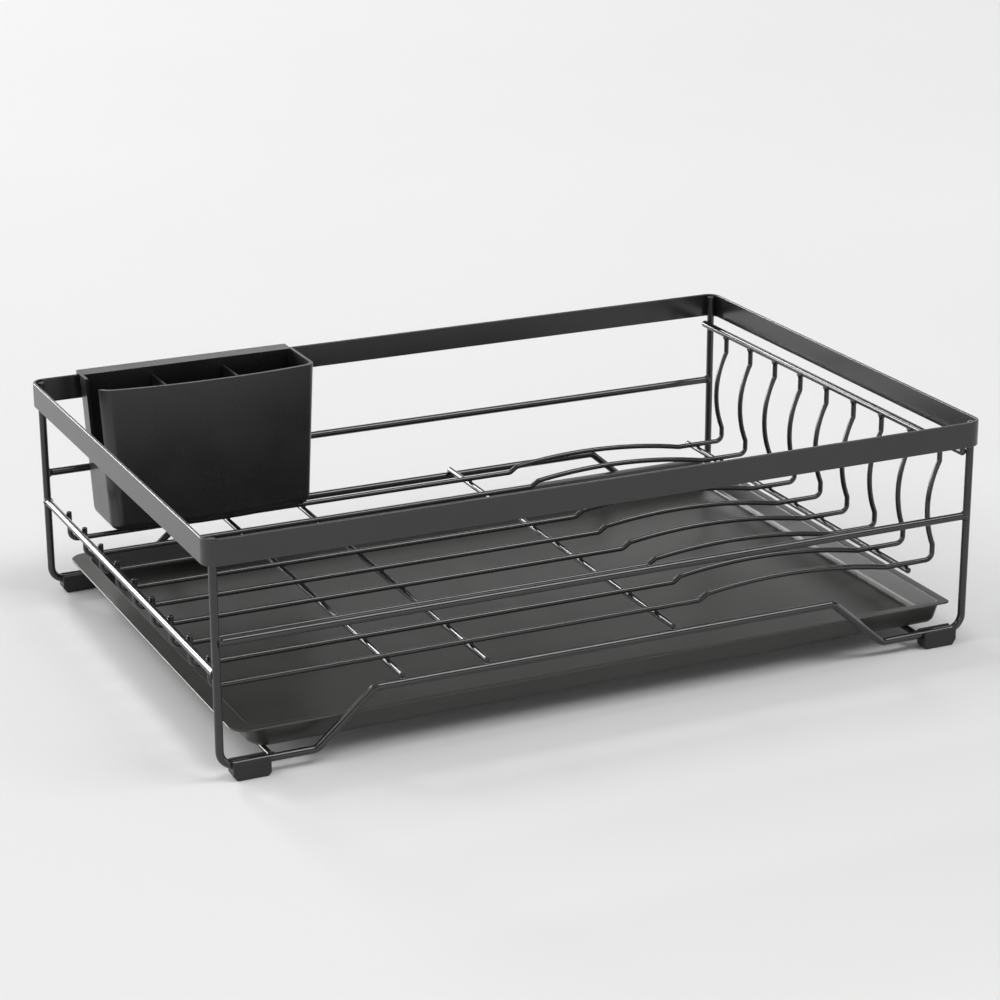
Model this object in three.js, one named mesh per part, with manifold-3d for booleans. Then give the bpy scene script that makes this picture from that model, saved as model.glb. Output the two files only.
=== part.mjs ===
// Dish drying rack: a basket of welded steel wire under a flat steel rim band, on four rubber
// feet, with a drip tray that slides out of either end and a utensil holder that hooks over the
// back of the rim.
//
// Units are millimetres. +X runs along the long front to the right, +Y to the back and +Z up.
// The origin is on the table, under the middle of the rack.
//
// Each wire is its own mesh. Welded wires lie WELD_GAP apart, so that no two solids share space.

import * as THREE from "three";
import { mergeVertices } from "three/addons/utils/BufferGeometryUtils.js";
import Module from "manifold-3d";

// ---------------------------------------------------------------- driving dimensions

const RACK_LENGTH = 440; // outside of the rim band, along X
const RACK_DEPTH = 296.6; // outside of the rim band, along Y
const RACK_HEIGHT = 127.2; // table to the top of the rim band

const BAND_HEIGHT = 13.9;
const BAND_THICKNESS = 1.6;
const BAND_CORNER_RADIUS = 8; // outside

const FRAME_WIRE = 4.2; // diameters: legs, feet runs, mid rails, hook rail and top rail
const CROSS_WIRE = 3.3; // wires under the plate wires, and the tray's rails
const PLATE_WIRE = 2.9; // the nine wires that the plates stand between
const WELD_GAP = 0.1;

const LEG_TOP_DROP = 0.8; // leg end below the top of the band
const LEG_BEND = 8; // bend radii are to the wire's centre line
const RAMP_BEND = 6;
const RAISED_RUN_Z = 35; // centre line of the run that carries the grid
const RAMP_FOOT_FROM_LEG = 50.7; // length of the low run between the leg and its ramp
const RAMP_RUN = 31.7; // how far a ramp goes along X as it climbs

const MID_RAIL_Z = 72.8;
const HOOK_RAIL_ABOVE_GRID = 13.85; // rail between the left legs that the plate wires hook onto
const TOP_RAIL_BELOW_BAND = 3.8; // rail across the right legs that the plate wires hang from

const PLATE_WIRES = 9;
const GRID_MARGIN = { front: 20.2, back: 30.2 }; // frame wire to the outermost plate wire
const HOOK_BEND = 4.5;
const HOOK_PROUD = 0.5; // how far a hook's tip stands above its rail
const HUMP_END_FROM_TOP_RAIL = 33.1;
const HUMP_LENGTH = 115.5; // where the plate wire steps up and comes down again in a long arc
const HUMP_STEP_RUN = 4.5;
const HUMP_STEP_RISE = 3;
const HUMP_SAG = 4.8; // height of the hump's arc above its chord
const UPRIGHT_BEND = 4;
const UPRIGHT_INSET = 1.1; // the top of an upright stands this much inside the top rail's middle
const UPRIGHT_LEAN = 2; // and its foot stands this much further in
const UPRIGHT_LOW_KINK = 8.65; // above the plate wire's flat run
const UPRIGHT_HIGH_KINK = 10.8; // below the top rail
const UPRIGHT_SAG = 5.3; // how far an upright's arc bulges inwards
const KINK_BEND = 3;

const CROSS_WIRE_FROM_LEFT_LEG = { left: 97.4, centre_left: 143.9, centre_right: 250.6 };
const END_CROSS_WIRE_FROM_RIGHT_LEG = 24.2; // free at both ends, beyond the raised run
const END_CROSS_WIRE_SHORT = 16.9; // each of its ends stops this much short of the frame wire

const FOOT_LENGTH = 20;
const FOOT_PAST_BEND = 2.6; // how far a foot reaches under the bend of its leg
const FOOT_WALL = 2;
const FOOT_SOLE = 5.45; // rubber under the wire
const FOOT_GROOVE_CLEARANCE = 0.15;
const FOOT_OUTER_CHAMFER = { run: 2, rise: 3 };
const FOOT_INNER_CHAMFER = 1.6;

const TRAY_RAIL_FROM_FOOT = 0.3;
const TRAY_SIDE_CLEARANCE = 0.9; // flange to the frame wires
const TRAY_END_CLEARANCE = { left: 6.8, right: 2.8 }; // flange to the legs
const TRAY_REST_GAP = 0.15;
const TRAY_HEIGHT = 13.1; // bottom to the top of the flange
const TRAY_WALL = 1;
const TRAY_FLANGE = { left: 9, right: 4, front: 3.5, back: 3.5 };
const TRAY_WALL_DRAFT = 2;
const TRAY_CHAMFER = { run: 1.5, rise: 2.5 }; // at the foot of the walls
const TRAY_CORNER_RADIUS = { left: 10, right: 3.5 };

const HOLDER_LENGTH = 128.1; // along X at its mouth
const HOLDER_FROM_LEFT = 26.9; // from the band's left outer face to the holder's mouth
const HOLDER_DEPTH = 43.5; // back wall to the middle of the front wall
const HOLDER_TAPER = 4.6; // each end leans in by this much from mouth to bottom
const HOLDER_WALL = 1.8;
const HOLDER_BOW = 5.5; // the front wall's middle stands this much before its corners
const HOLDER_FRONT_RADIUS = { left: 8, right: 6 };
const HOLDER_BACK_RADIUS = 1;
const HOLDER_BOTTOM_RADIUS = 6;
const HOLDER_GRID_CLEARANCE = 0.5; // holder's bottom above the plate wires
const HOLDER_RAIL_CLEARANCE = 0.4; // back wall to the mid rail
const HOLDER_DIVIDERS = 2;
const DIVIDER_THICKNESS = 1.4;
const DIVIDER_DROP = 5; // divider's top below the mouth
const SLOT_WIDTH = 22.7; // slot in the left wall, open at the mouth
const SLOT_DEPTH = 47; // below the mouth
const SLOT_FROM_BACK = 11.1; // from the back wall's outer face to the slot
const LIP_THICKNESS = 1.5;
const LIP_DROP = 9; // how far the lip reaches down behind the band
const LIP_CLEARANCE = 0.3; // lip to the band

const WIRE_SIDES = 8;
const BEND_STEP = THREE.MathUtils.degToRad(22.5);
const ARC_STEPS = 8;
const CORNER_SEGMENTS = 4;
const BOTTOM_STEPS = 3; // facets of the rounding round the holder's floor
const CUT_MARGIN = 1; // how far a cutting tool runs past what it cuts

// ---------------------------------------------------------------- derived places

const frameR = FRAME_WIRE / 2;
const crossR = CROSS_WIRE / 2;
const plateR = PLATE_WIRE / 2;

// A leg nests in the band's corner: it touches the inner corner arc on its diagonal.
const bandInnerRadius = BAND_CORNER_RADIUS - BAND_THICKNESS;
const legInset = BAND_CORNER_RADIUS - (bandInnerRadius - frameR - WELD_GAP) / Math.SQRT2;
const legX = RACK_LENGTH / 2 - legInset;
const legY = RACK_DEPTH / 2 - legInset;

const lowRunZ = FOOT_SOLE + FOOT_GROOVE_CLEARANCE + frameR;
const legGapX = legX - frameR - WELD_GAP; // end of a rail that is butted between two legs
const legGapY = legY - frameR - WELD_GAP;
const topRailX = legX - FRAME_WIRE - WELD_GAP; // the top rail is lapped on the legs' inner side
const topRailZ = RACK_HEIGHT - BAND_HEIGHT - TOP_RAIL_BELOW_BAND;

const crossZ = RAISED_RUN_Z + frameR + WELD_GAP + crossR;
const plateZ = crossZ + crossR + WELD_GAP + plateR;
const hookRailZ = plateZ + HOOK_RAIL_ABOVE_GRID;
const hookX = -legX + frameR + WELD_GAP + plateR;

const gridFrontY = -legY + GRID_MARGIN.front;
const gridBackY = legY - GRID_MARGIN.back;
const plateWirePitch = (gridBackY - gridFrontY) / (PLATE_WIRES - 1);

const footInnerX = legX - LEG_BEND + FOOT_PAST_BEND - FOOT_LENGTH;
const footWidth = FRAME_WIRE + 2 * FOOT_GROOVE_CLEARANCE + 2 * FOOT_WALL;
const trayRailX = footInnerX - TRAY_RAIL_FROM_FOOT - crossR;
const trayBottomZ = lowRunZ + crossR + TRAY_REST_GAP;

const holderBack = legY - frameR - HOLDER_RAIL_CLEARANCE;
const holderFront = holderBack - HOLDER_DEPTH;
const holderLeft = -RACK_LENGTH / 2 + HOLDER_FROM_LEFT;
const holderRight = holderLeft + HOLDER_LENGTH;
const holderTop = RACK_HEIGHT + LIP_CLEARANCE + LIP_THICKNESS;
const holderBottom = plateZ + plateR + HOLDER_GRID_CLEARANCE;

// ---------------------------------------------------------------- materials

const finish = (color, roughness, metalness) => () =>
  new THREE.MeshStandardMaterial({ color, roughness, metalness });
const blackPowderCoat = finish(0x2b2b2b, 0.42, 0.1);
const trayEnamel = finish(0x383836, 0.4, 0.1);
const holderPlastic = finish(0x222222, 0.35, 0);
const footRubber = finish(0x1c1c1c, 0.8, 0);

// ---------------------------------------------------------------- helpers

const rack = new THREE.Group();
rack.name = "dish_drying_rack";

function addPart(name, geometry, material) {
  const part = new THREE.Mesh(geometry, material());
  part.name = name;
  rack.add(part);
  return part;
}

const wasm = await Module();
wasm.setup();

function toSolid(geometry) {
  const bare = geometry.clone();
  bare.deleteAttribute("normal");
  bare.deleteAttribute("uv");
  const merged = mergeVertices(bare, 1e-4);
  return new wasm.Manifold(
    new wasm.Mesh({
      numProp: 3,
      vertProperties: merged.attributes.position.array,
      triVerts: new Uint32Array(merged.index.array),
    }),
  );
}

function toGeometry(solid) {
  const mesh = solid.getMesh();
  const positions = new Float32Array(mesh.numVert * 3);
  for (let i = 0; i < mesh.numVert; i++) {
    positions.set(mesh.vertProperties.subarray(i * mesh.numProp, i * mesh.numProp + 3), i * 3);
  }
  return new THREE.BufferGeometry()
    .setAttribute("position", new THREE.BufferAttribute(positions, 3))
    .setIndex(new THREE.BufferAttribute(mesh.triVerts, 1));
}

// A centre line that an ExtrudeGeometry steps along point by point.
class CentreLine extends THREE.Curve {
  constructor(points) {
    super();
    this.points = points;
  }

  getPointAt(u) {
    return this.points[Math.round(u * (this.points.length - 1))].clone();
  }

  getTangentAt(u) {
    const last = this.points.length - 1;
    const i = Math.round(u * last);
    const before = this.points[Math.max(i - 1, 0)];
    const here = this.points[i];
    const after = this.points[Math.min(i + 1, last)];
    const into = here.clone().sub(before).normalize();
    const outOf = after.clone().sub(here).normalize();
    return into.add(outOf).normalize();
  }
}

// Corners are [x, z, bendRadius] in the plane Y = y. Each bend becomes an arc of short steps.
function bentPath(corners, y) {
  const at = ([x, z]) => new THREE.Vector2(x, z);
  const flat = [at(corners[0])];
  for (let i = 1; i < corners.length - 1; i++) {
    const corner = at(corners[i]);
    const back = at(corners[i - 1]).sub(corner).normalize();
    const ahead = at(corners[i + 1]).sub(corner).normalize();
    const turn = Math.PI - back.angleTo(ahead);
    const radius = corners[i][2] ?? 0;
    if (radius === 0 || turn < 1e-6) {
      flat.push(corner);
      continue;
    }
    const reach = radius * Math.tan(turn / 2);
    const middle = back.clone().add(ahead).normalize();
    const centre = corner.clone().addScaledVector(middle, radius / Math.cos(turn / 2));
    const from = corner.clone().addScaledVector(back, reach).sub(centre);
    const sense = Math.sign(back.cross(ahead)) * -1;
    const steps = Math.max(1, Math.ceil(turn / BEND_STEP));
    for (let k = 0; k <= steps; k++) {
      const spoke = from.clone().rotateAround(new THREE.Vector2(), (sense * turn * k) / steps);
      flat.push(centre.clone().add(spoke));
    }
  }
  flat.push(at(corners[corners.length - 1]));
  return flat.map((p) => new THREE.Vector3(p.x, y, p.y));
}

// Points of the arc from a to b ([x, z]) whose middle stands sag off the chord, to its left.
function arcPoints(a, b, sag, steps = ARC_STEPS) {
  const start = new THREE.Vector2(...a);
  const end = new THREE.Vector2(...b);
  const half = start.distanceTo(end) / 2;
  const radius = (half * half + sag * sag) / (2 * sag);
  const chord = end.clone().sub(start).normalize();
  const side = new THREE.Vector2(-chord.y, chord.x);
  const centre = start.clone().add(end).multiplyScalar(0.5).addScaledVector(side, sag - radius);
  const reach = Math.asin(half / radius);
  const points = [];
  for (let k = 0; k <= steps; k++) {
    const angle = reach * ((2 * k) / steps - 1);
    const p = centre.clone()
      .addScaledVector(chord, radius * Math.sin(angle))
      .addScaledVector(side, radius * Math.cos(angle));
    points.push([p.x, p.y]);
  }
  return points;
}

function wireGeometry(points, diameter) {
  const section = new THREE.Shape();
  for (let i = 0; i < WIRE_SIDES; i++) {
    const angle = (2 * Math.PI * i) / WIRE_SIDES;
    const x = (diameter / 2) * Math.cos(angle);
    const y = (diameter / 2) * Math.sin(angle);
    if (i === 0) section.moveTo(x, y);
    else section.lineTo(x, y);
  }
  section.closePath();
  return new THREE.ExtrudeGeometry(section, {
    steps: points.length - 1,
    bevelEnabled: false,
    extrudePath: new CentreLine(points),
  });
}

function addWire(name, points, diameter) {
  return addPart(name, wireGeometry(points, diameter), blackPowderCoat);
}

function addStraightWire(name, from, to, diameter) {
  return addWire(name, [new THREE.Vector3(...from), new THREE.Vector3(...to)], diameter);
}

// Outline of a box from x0 to x1 and y0 to y1 with a radius on its left and on its right corners.
function roundedOutline(x0, x1, y0, y1, leftRadius, rightRadius) {
  const outline = new THREE.Shape();
  outline.moveTo(x0 + leftRadius, y0);
  outline.absarc(x1 - rightRadius, y0 + rightRadius, rightRadius, -Math.PI / 2, 0);
  outline.absarc(x1 - rightRadius, y1 - rightRadius, rightRadius, 0, Math.PI / 2);
  outline.absarc(x0 + leftRadius, y1 - leftRadius, leftRadius, Math.PI / 2, Math.PI);
  outline.absarc(x0 + leftRadius, y0 + leftRadius, leftRadius, Math.PI, 1.5 * Math.PI);
  return outline;
}

// The shape's points, anticlockwise, without the last one where it repeats the first.
function ringOf(outline, z, segments = CORNER_SEGMENTS) {
  const points = outline.getPoints(segments);
  if (points[0].distanceTo(points[points.length - 1]) < 1e-6) points.pop();
  return points.map((p) => new THREE.Vector3(p.x, p.y, z));
}

// Skin over rings of equal length, closed by a flat cap on the first (facing down) and on the
// last (facing up). Rings run up the outside and, for a vessel, down the inside again.
function skinRings(rings) {
  const count = rings[0].length;
  const positions = rings.flat().flatMap((p) => [p.x, p.y, p.z]);
  const index = [];
  for (let r = 0; r < rings.length - 1; r++) {
    for (let i = 0; i < count; i++) {
      const j = (i + 1) % count;
      const a = r * count + i;
      const b = r * count + j;
      index.push(a, b, a + count);
      index.push(b, b + count, a + count);
    }
  }
  const cap = (ring, offset, up) => {
    const flat = ring.map((p) => new THREE.Vector2(p.x, p.y));
    for (const [a, b, c] of THREE.ShapeUtils.triangulateShape(flat, [])) {
      index.push(offset + a, offset + (up ? b : c), offset + (up ? c : b));
    }
  };
  cap(rings[0], 0, false);
  cap(rings[rings.length - 1], (rings.length - 1) * count, true);
  return new THREE.BufferGeometry()
    .setAttribute("position", new THREE.Float32BufferAttribute(positions, 3))
    .setIndex(index);
}

// ---------------------------------------------------------------- rim band

function rimBand() {
  const outline = roundedOutline(
    -RACK_LENGTH / 2, RACK_LENGTH / 2, -RACK_DEPTH / 2, RACK_DEPTH / 2,
    BAND_CORNER_RADIUS, BAND_CORNER_RADIUS,
  );
  outline.holes.push(roundedOutline(
    -RACK_LENGTH / 2 + BAND_THICKNESS, RACK_LENGTH / 2 - BAND_THICKNESS,
    -RACK_DEPTH / 2 + BAND_THICKNESS, RACK_DEPTH / 2 - BAND_THICKNESS,
    bandInnerRadius, bandInnerRadius,
  ));
  const band = new THREE.ExtrudeGeometry(outline, {
    depth: BAND_HEIGHT,
    bevelEnabled: false,
    curveSegments: 6,
  });
  addPart("rim_band", band, blackPowderCoat).position.z = RACK_HEIGHT - BAND_HEIGHT;
}

// ---------------------------------------------------------------- frame wires and rails

// Leg, low run on the foot, ramp, raised run, ramp, low run and leg, bent from one wire.
function frameWire(name, y) {
  const top = RACK_HEIGHT - LEG_TOP_DROP;
  const rampFootX = legX - RAMP_FOOT_FROM_LEG;
  const rampTopX = rampFootX - RAMP_RUN;
  const right = [
    [rampTopX, RAISED_RUN_Z, RAMP_BEND],
    [rampFootX, lowRunZ, RAMP_BEND],
    [legX, lowRunZ, LEG_BEND],
    [legX, top],
  ];
  const left = right.map(([x, z, radius]) => [-x, z, radius]).reverse();
  addWire(name, bentPath([...left, ...right], y), FRAME_WIRE);
}

function rails() {
  for (const [name, side] of [["front_mid_rail", -1], ["back_mid_rail", 1]]) {
    const y = side * legY;
    addStraightWire(name, [-legGapX, y, MID_RAIL_Z], [legGapX, y, MID_RAIL_Z], FRAME_WIRE);
  }
  addStraightWire(
    "hook_rail", [-legX, -legGapY, hookRailZ], [-legX, legGapY, hookRailZ], FRAME_WIRE,
  );
  addStraightWire(
    "top_rail", [topRailX, -legY, topRailZ], [topRailX, legY, topRailZ], FRAME_WIRE,
  );
}

// ---------------------------------------------------------------- grid

// Hook, flat run, hump, flat run, and an upright whose arc bulges inwards, to the top rail.
function plateWire(i) {
  const y = gridBackY - i * plateWirePitch;
  const topX = topRailX - UPRIGHT_INSET;
  const footX = topX - UPRIGHT_LEAN;
  const humpEnd = topRailX - HUMP_END_FROM_TOP_RAIL;
  const humpStart = humpEnd - HUMP_LENGTH;
  const humpTop = [humpStart + HUMP_STEP_RUN, plateZ + HUMP_STEP_RISE];
  const lowKink = [footX, plateZ + UPRIGHT_LOW_KINK];
  const highKink = [topX, topRailZ - UPRIGHT_HIGH_KINK];
  const kinked = (points) => points.map((p, k) => (k % ARC_STEPS === 0 ? [...p, KINK_BEND] : p));
  addWire(`plate_wire_${i + 1}`, bentPath([
    [hookX, hookRailZ + frameR + HOOK_PROUD],
    [hookX, plateZ, HOOK_BEND],
    [humpStart, plateZ, KINK_BEND],
    ...kinked(arcPoints(humpTop, [humpEnd, plateZ], HUMP_SAG)),
    [footX, plateZ, UPRIGHT_BEND],
    ...kinked(arcPoints(lowKink, highKink, UPRIGHT_SAG)),
    [topX, topRailZ - frameR - WELD_GAP],
  ], y), PLATE_WIRE);
}

function crossWires() {
  const across = (name, x, y) =>
    addStraightWire(name, [x, -y, crossZ], [x, y, crossZ], CROSS_WIRE);
  for (const [place, distance] of Object.entries(CROSS_WIRE_FROM_LEFT_LEG)) {
    across(`cross_wire_${place}`, -legX + distance, legY);
  }
  across("cross_wire_right", legX - END_CROSS_WIRE_FROM_RIGHT_LEG, legY - END_CROSS_WIRE_SHORT);
}

function trayRails() {
  for (const [name, side] of [["tray_rail_left", -1], ["tray_rail_right", 1]]) {
    const x = side * trayRailX;
    addStraightWire(name, [x, -legGapY, lowRunZ], [x, legGapY, lowRunZ], CROSS_WIRE);
  }
}

// ---------------------------------------------------------------- feet

// Turns a solid extruded along Z so that its section stands in the YZ plane and runs along +X.
const alongX = new THREE.Matrix4().makeBasis(
  new THREE.Vector3(0, 1, 0), new THREE.Vector3(0, 0, 1), new THREE.Vector3(1, 0, 0),
);

// Rubber under and beside the wire, with a round-bottomed groove open to the top.
function footBlock(top) {
  const half = footWidth / 2;
  const grooveR = frameR + FOOT_GROOVE_CLEARANCE;
  const section = new THREE.Shape();
  section.moveTo(-half, 0);
  section.lineTo(half, 0);
  section.lineTo(half, top);
  section.lineTo(grooveR, top);
  section.absarc(0, lowRunZ, grooveR, 0, -Math.PI, true);
  section.lineTo(-grooveR, top);
  section.lineTo(-half, top);
  section.closePath();
  return new THREE.ExtrudeGeometry(section, {
    depth: FOOT_LENGTH,
    bevelEnabled: false,
    curveSegments: 8,
  }).applyMatrix4(alongX);
}

// The foot's outline seen from the front, with a chamfer at each lower end.
function footTrim(top) {
  const { run, rise } = FOOT_OUTER_CHAMFER;
  const profile = new THREE.Shape();
  profile.moveTo(FOOT_INNER_CHAMFER, 0);
  profile.lineTo(FOOT_LENGTH - run, 0);
  profile.lineTo(FOOT_LENGTH, rise);
  profile.lineTo(FOOT_LENGTH, top + CUT_MARGIN);
  profile.lineTo(0, top + CUT_MARGIN);
  profile.lineTo(0, FOOT_INNER_CHAMFER);
  profile.closePath();
  const depth = footWidth + 2 * CUT_MARGIN;
  return new THREE.ExtrudeGeometry(profile, { depth, bevelEnabled: false })
    .rotateX(Math.PI / 2)
    .translate(0, depth / 2, 0);
}

function feet() {
  const top = lowRunZ + frameR;
  const geometry = toGeometry(toSolid(footBlock(top)).intersect(toSolid(footTrim(top))));
  for (const [end, sx] of [["left", -1], ["right", 1]]) {
    for (const [side, sy] of [["front", -1], ["back", 1]]) {
      const foot = addPart(`foot_${side}_${end}`, geometry, footRubber);
      foot.position.set(sx * footInnerX, sy * legY, 0);
      if (sx < 0) foot.rotation.z = Math.PI;
    }
  }
}

// ---------------------------------------------------------------- drip tray

// A vessel with a flat flange: its rings run up the outside, over the flange and down the inside.
function dripTray() {
  const flangeLeft = -legX + frameR + TRAY_END_CLEARANCE.left;
  const flangeRight = legX - frameR - TRAY_END_CLEARANCE.right;
  const flangeY = legY - frameR - TRAY_SIDE_CLEARANCE;
  const top = trayBottomZ + TRAY_HEIGHT;
  const floor = trayBottomZ + TRAY_WALL;
  const waist = TRAY_WALL_DRAFT;
  const foot = TRAY_WALL_DRAFT + TRAY_CHAMFER.run;

  const outline = (margin, inset) => roundedOutline(
    flangeLeft + margin.left + inset, flangeRight - margin.right - inset,
    -flangeY + margin.front + inset, flangeY - margin.back - inset,
    TRAY_CORNER_RADIUS.left, TRAY_CORNER_RADIUS.right,
  );
  const edge = { left: 0, right: 0, front: 0, back: 0 };
  const wallRing = (inset, z) => ringOf(outline(TRAY_FLANGE, inset), z);
  const edgeRing = (z) => ringOf(outline(edge, 0), z);
  addPart("drip_tray", skinRings([
    wallRing(foot, trayBottomZ),
    wallRing(waist, trayBottomZ + TRAY_CHAMFER.rise),
    wallRing(0, top - TRAY_WALL),
    edgeRing(top - TRAY_WALL),
    edgeRing(top),
    wallRing(TRAY_WALL, top),
    wallRing(TRAY_WALL + waist, floor + TRAY_CHAMFER.rise),
    wallRing(TRAY_WALL + foot, floor),
  ]), trayEnamel);
}

// ---------------------------------------------------------------- utensil holder

function boxSolid([ax, ay, az], [bx, by, bz]) {
  const geometry = new THREE.BoxGeometry(bx - ax, by - ay, bz - az);
  geometry.translate((ax + bx) / 2, (ay + by) / 2, (az + bz) / 2);
  return toSolid(geometry);
}

// The holder's outline at height z, drawn in by inset: a bowed front, and ends that lean in.
function holderRing(inset, z) {
  const lean = HOLDER_TAPER * (1 - (z - holderBottom) / (holderTop - holderBottom));
  const left = holderLeft + lean + inset;
  const right = holderRight - lean - inset;
  const front = holderFront + inset;
  const back = holderBack - inset;
  const { left: rl, right: rr } = HOLDER_FRONT_RADIUS;
  const rb = HOLDER_BACK_RADIUS;
  const cornerY = front + HOLDER_BOW;
  const shape = new THREE.Shape();
  shape.moveTo(left + rl, cornerY);
  shape.quadraticCurveTo((left + right) / 2, front - HOLDER_BOW, right - rr, cornerY);
  shape.absarc(right - rr, cornerY + rr, rr, -Math.PI / 2, 0);
  shape.absarc(right - rb, back - rb, rb, 0, Math.PI / 2);
  shape.absarc(left + rb, back - rb, rb, Math.PI / 2, Math.PI);
  shape.absarc(left + rl, cornerY + rl, rl, Math.PI, 1.5 * Math.PI);
  return ringOf(shape, z, CORNER_SEGMENTS + 1);
}

// Rings round the floor's edge, from the flat floor up to the wall.
function holderFloorRings(inset, floorZ) {
  const rings = [];
  for (let k = 0; k <= BOTTOM_STEPS; k++) {
    const angle = (Math.PI / 2) * (k / BOTTOM_STEPS);
    const pull = HOLDER_BOTTOM_RADIUS * (1 - Math.sin(angle));
    const rise = HOLDER_BOTTOM_RADIUS * (1 - Math.cos(angle));
    rings.push(holderRing(inset + pull, floorZ + rise));
  }
  return rings;
}

function holderShell() {
  return toSolid(skinRings([
    ...holderFloorRings(0, holderBottom),
    holderRing(0, holderTop),
    holderRing(HOLDER_WALL, holderTop),
    ...holderFloorRings(HOLDER_WALL, holderBottom + HOLDER_WALL).reverse(),
  ]));
}

// The dividers are cut to a core whose skin lies halfway through the wall, so they root in it.
function holderDividers() {
  const root = HOLDER_WALL / 2;
  const core = toSolid(skinRings([
    ...holderFloorRings(root, holderBottom + root),
    holderRing(root, holderTop),
  ]));
  const dividers = [];
  for (let k = 1; k <= HOLDER_DIVIDERS; k++) {
    const x = holderLeft + (HOLDER_LENGTH * k) / (HOLDER_DIVIDERS + 1);
    const half = DIVIDER_THICKNESS / 2;
    const sheet = boxSolid(
      [x - half, holderFront, holderBottom],
      [x + half, holderBack, holderTop - DIVIDER_DROP],
    );
    dividers.push(sheet.intersect(core));
  }
  return dividers;
}

// A U open at the mouth, run through the left wall.
function holderSlot() {
  const radius = SLOT_WIDTH / 2;
  const middle = holderBack - SLOT_FROM_BACK - radius;
  const section = new THREE.Shape();
  section.moveTo(middle + radius, holderTop + CUT_MARGIN);
  section.lineTo(middle - radius, holderTop + CUT_MARGIN);
  section.absarc(middle, holderTop - SLOT_DEPTH + radius, radius, Math.PI, 2 * Math.PI);
  section.closePath();
  const slot = new THREE.ExtrudeGeometry(section, {
    depth: HOLDER_TAPER + HOLDER_WALL + 2 * CUT_MARGIN,
    bevelEnabled: false,
    curveSegments: 8,
  });
  return toSolid(slot.applyMatrix4(alongX).translate(holderLeft - CUT_MARGIN, 0, 0));
}

// A flat over the rim band and a flat down behind it.
function holderLip() {
  const x0 = holderLeft + HOLDER_BACK_RADIUS;
  const x1 = holderRight - HOLDER_BACK_RADIUS;
  const root = holderBack - HOLDER_WALL / 2;
  const innerY = RACK_DEPTH / 2 + LIP_CLEARANCE;
  const outerY = innerY + LIP_THICKNESS;
  const over = boxSolid([x0, root, holderTop - LIP_THICKNESS], [x1, outerY, holderTop]);
  const behind = boxSolid([x0, innerY, RACK_HEIGHT - LIP_DROP], [x1, outerY, holderTop]);
  return over.add(behind);
}

function utensilHolder() {
  let holder = holderShell();
  for (const divider of holderDividers()) holder = holder.add(divider);
  holder = holder.subtract(holderSlot()).add(holderLip());
  addPart("utensil_holder", toGeometry(holder), holderPlastic);
}

// ---------------------------------------------------------------- assembly

rimBand();
frameWire("front_frame_wire", -legY);
frameWire("back_frame_wire", legY);
rails();
for (let i = 0; i < PLATE_WIRES; i++) plateWire(i);
crossWires();
trayRails();
feet();
dripTray();
utensilHolder();

export default rack;
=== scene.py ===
# %% [markdown]
# # A dish drying rack, in looks
#
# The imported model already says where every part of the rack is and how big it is. This file
# gives each part a fine surface and a finish. It goes from the camera to the finishes and the
# light, then to the functions that draw shapes, and then one piece at a time, so that each
# cell can be run and looked at before the next one.

import math

import bmesh
import bpy
from mathutils import Matrix, Vector


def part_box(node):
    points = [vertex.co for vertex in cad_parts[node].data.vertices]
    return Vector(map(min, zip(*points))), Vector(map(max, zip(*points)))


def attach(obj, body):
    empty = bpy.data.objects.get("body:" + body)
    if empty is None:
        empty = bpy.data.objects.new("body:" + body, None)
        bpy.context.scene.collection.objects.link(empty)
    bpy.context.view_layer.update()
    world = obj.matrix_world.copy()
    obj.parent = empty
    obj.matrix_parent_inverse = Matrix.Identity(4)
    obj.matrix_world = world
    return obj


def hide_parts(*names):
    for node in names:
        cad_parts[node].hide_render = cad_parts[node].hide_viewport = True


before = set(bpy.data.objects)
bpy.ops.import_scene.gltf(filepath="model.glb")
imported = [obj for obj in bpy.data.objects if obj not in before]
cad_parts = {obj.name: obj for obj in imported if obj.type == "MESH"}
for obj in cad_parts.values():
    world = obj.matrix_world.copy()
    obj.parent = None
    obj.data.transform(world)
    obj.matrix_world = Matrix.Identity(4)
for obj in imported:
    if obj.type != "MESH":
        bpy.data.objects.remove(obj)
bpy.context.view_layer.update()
MM = 0.001

# %% [markdown]
# ## The camera
#
# The rack is seen from the front left, a little from above, through a long lens that keeps
# its edges nearly parallel. Blender's camera looks along its own -Z with +Y up, so the three
# columns of its matrix are the right, the up and the backward direction.

# %% Camera
CAMERA_PLACE = Vector((-0.6199, -1.3407, 0.5792))
CAMERA_YAW = math.radians(24.917)  # from +Y towards +X
CAMERA_PITCH = math.radians(-19.055)
CAMERA_ROLL = math.radians(-0.227)
CAMERA_LENS = 101.27  # millimetres, like the sensor
CAMERA_SENSOR = 36

look = Vector((
    math.sin(CAMERA_YAW) * math.cos(CAMERA_PITCH),
    math.cos(CAMERA_YAW) * math.cos(CAMERA_PITCH),
    math.sin(CAMERA_PITCH),
))
level = Vector((math.cos(CAMERA_YAW), -math.sin(CAMERA_YAW), 0))
right = Matrix.Rotation(CAMERA_ROLL, 3, -look) @ level
up = right.cross(look)

camera_data = bpy.data.cameras.new("camera")
camera_data.lens = CAMERA_LENS
camera_data.sensor_width = CAMERA_SENSOR
camera = bpy.data.objects.new("camera", camera_data)
camera.matrix_world = Matrix.Translation(CAMERA_PLACE) @ Matrix((
    (right.x, up.x, -look.x), (right.y, up.y, -look.y), (right.z, up.z, -look.z),
)).to_4x4()
bpy.context.scene.collection.objects.link(camera)
bpy.context.scene.camera = camera
print("camera", [round(v, 3) for v in camera.location], "lens", CAMERA_LENS)

# %% [markdown]
# ## Colours and nodes
#
# A finish is described by the colour that a person would pick on a screen, which is an sRGB
# hex value. Blender's sockets want linear light, so one function turns the one into the
# other. A second small function adds a node with its settings and links, because every
# finish below is a short chain of nodes.

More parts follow.
